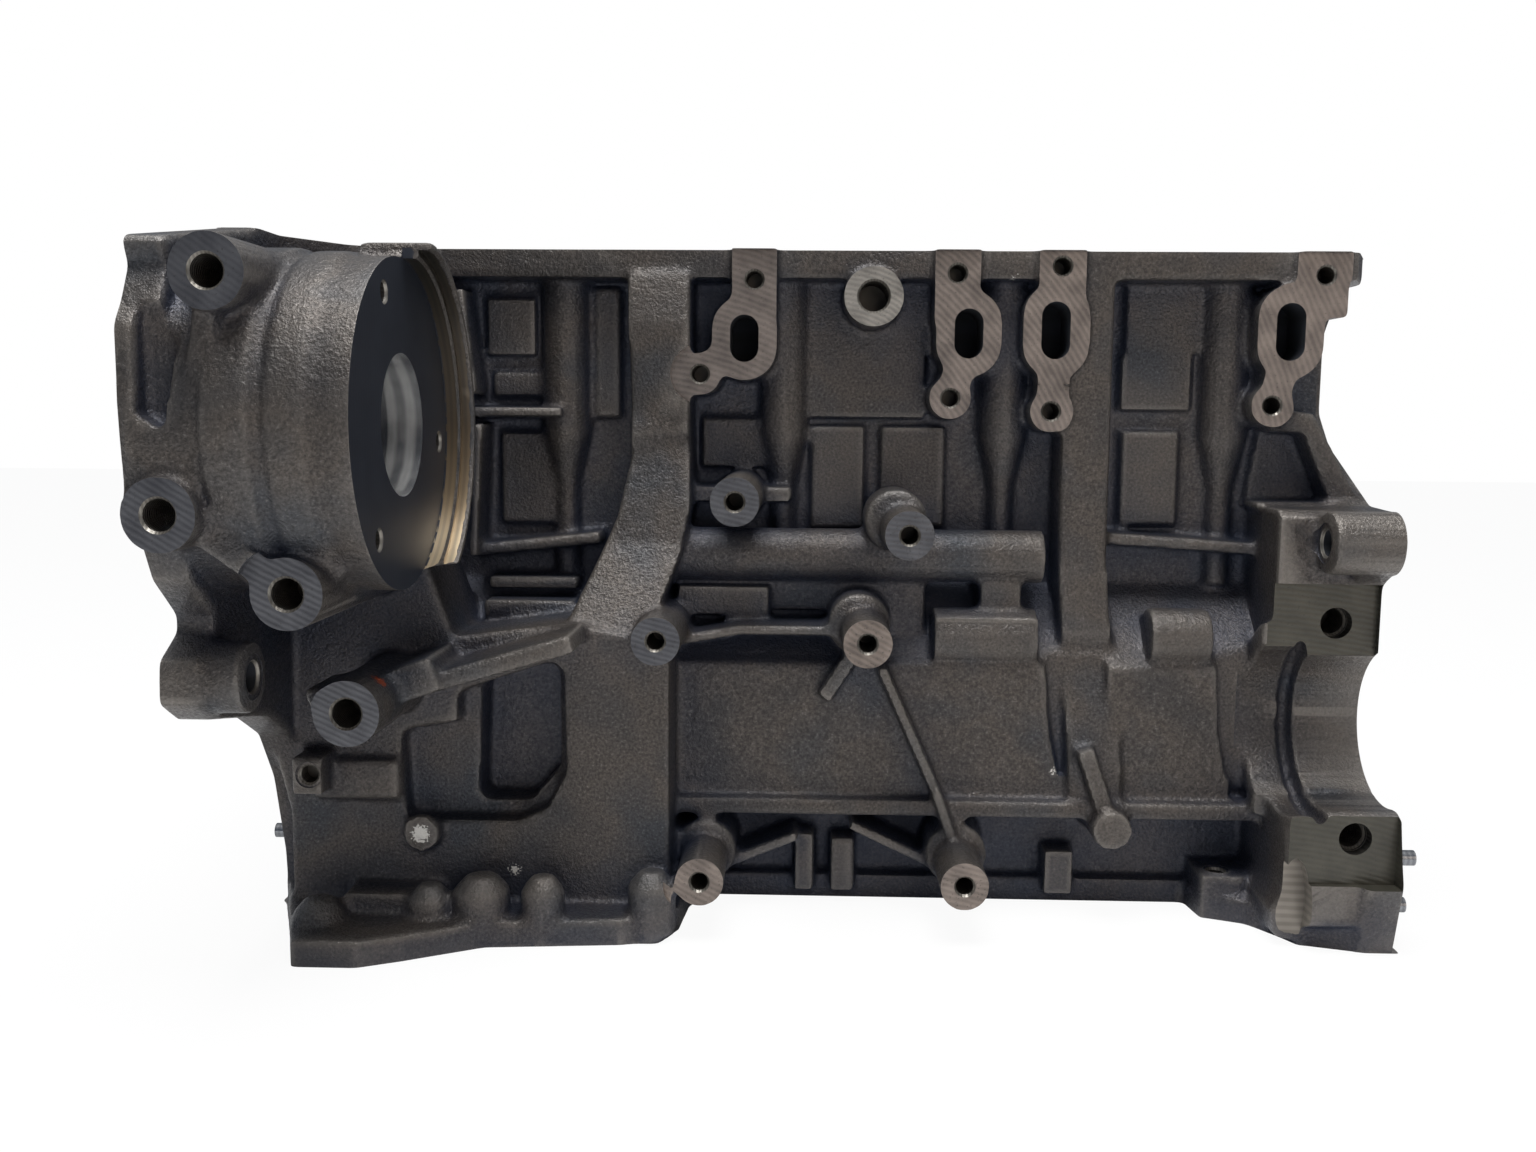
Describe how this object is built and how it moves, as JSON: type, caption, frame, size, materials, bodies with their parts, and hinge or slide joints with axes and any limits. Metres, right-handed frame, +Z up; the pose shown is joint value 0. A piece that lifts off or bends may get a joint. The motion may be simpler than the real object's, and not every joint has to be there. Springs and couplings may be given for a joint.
{
  "type": "engine block",
  "caption": "Bare inline four-cylinder engine block casting with bearing caps, core plugs, machined bosses, slotted side pads and a side pump seat.",
  "frame": {"origin": "on the crankshaft axis, half way along the centre main bearing, between the second and third cylinders", "axes": "+X along the crankshaft towards the rear end, +Z up through the deck, -Y towards the accessory side"},
  "size_m": [0.461, 0.3385, 0.278],
  "materials": {
    "casting": "satin as-cast skin with milled faces",
    "cap_iron": "satin",
    "bolt_steel": "dark phosphated steel",
    "plug_steel": "pressed steel",
    "dowel_steel": "ground steel"
  },
  "bodies": {
    "root": {"cylinder_block": "casting", "main_bearing_cap_1": "cap_iron", "main_bearing_cap_2": "cap_iron", "main_bearing_cap_3": "cap_iron", "main_bearing_cap_4": "cap_iron", "main_bearing_cap_5": "cap_iron", "main_cap_bolts_1": "bolt_steel", "main_cap_bolts_2": "bolt_steel", "main_cap_bolts_3": "bolt_steel", "main_cap_bolts_4": "bolt_steel", "main_cap_bolts_5": "bolt_steel", "core_plug_1": "plug_steel", "core_plug_2": "plug_steel", "core_plug_3": "plug_steel", "core_plug_4": "plug_steel", "gallery_plug_front": "plug_steel", "gallery_plug_rear": "plug_steel", "deck_dowel_front": "dowel_steel", "deck_dowel_rear": "dowel_steel", "dowel_pin_front_near": "dowel_steel", "dowel_pin_front_far": "dowel_steel", "dowel_pin_rear_near": "dowel_steel", "dowel_pin_rear_low": "dowel_steel"}
  },
  "joints": []
}
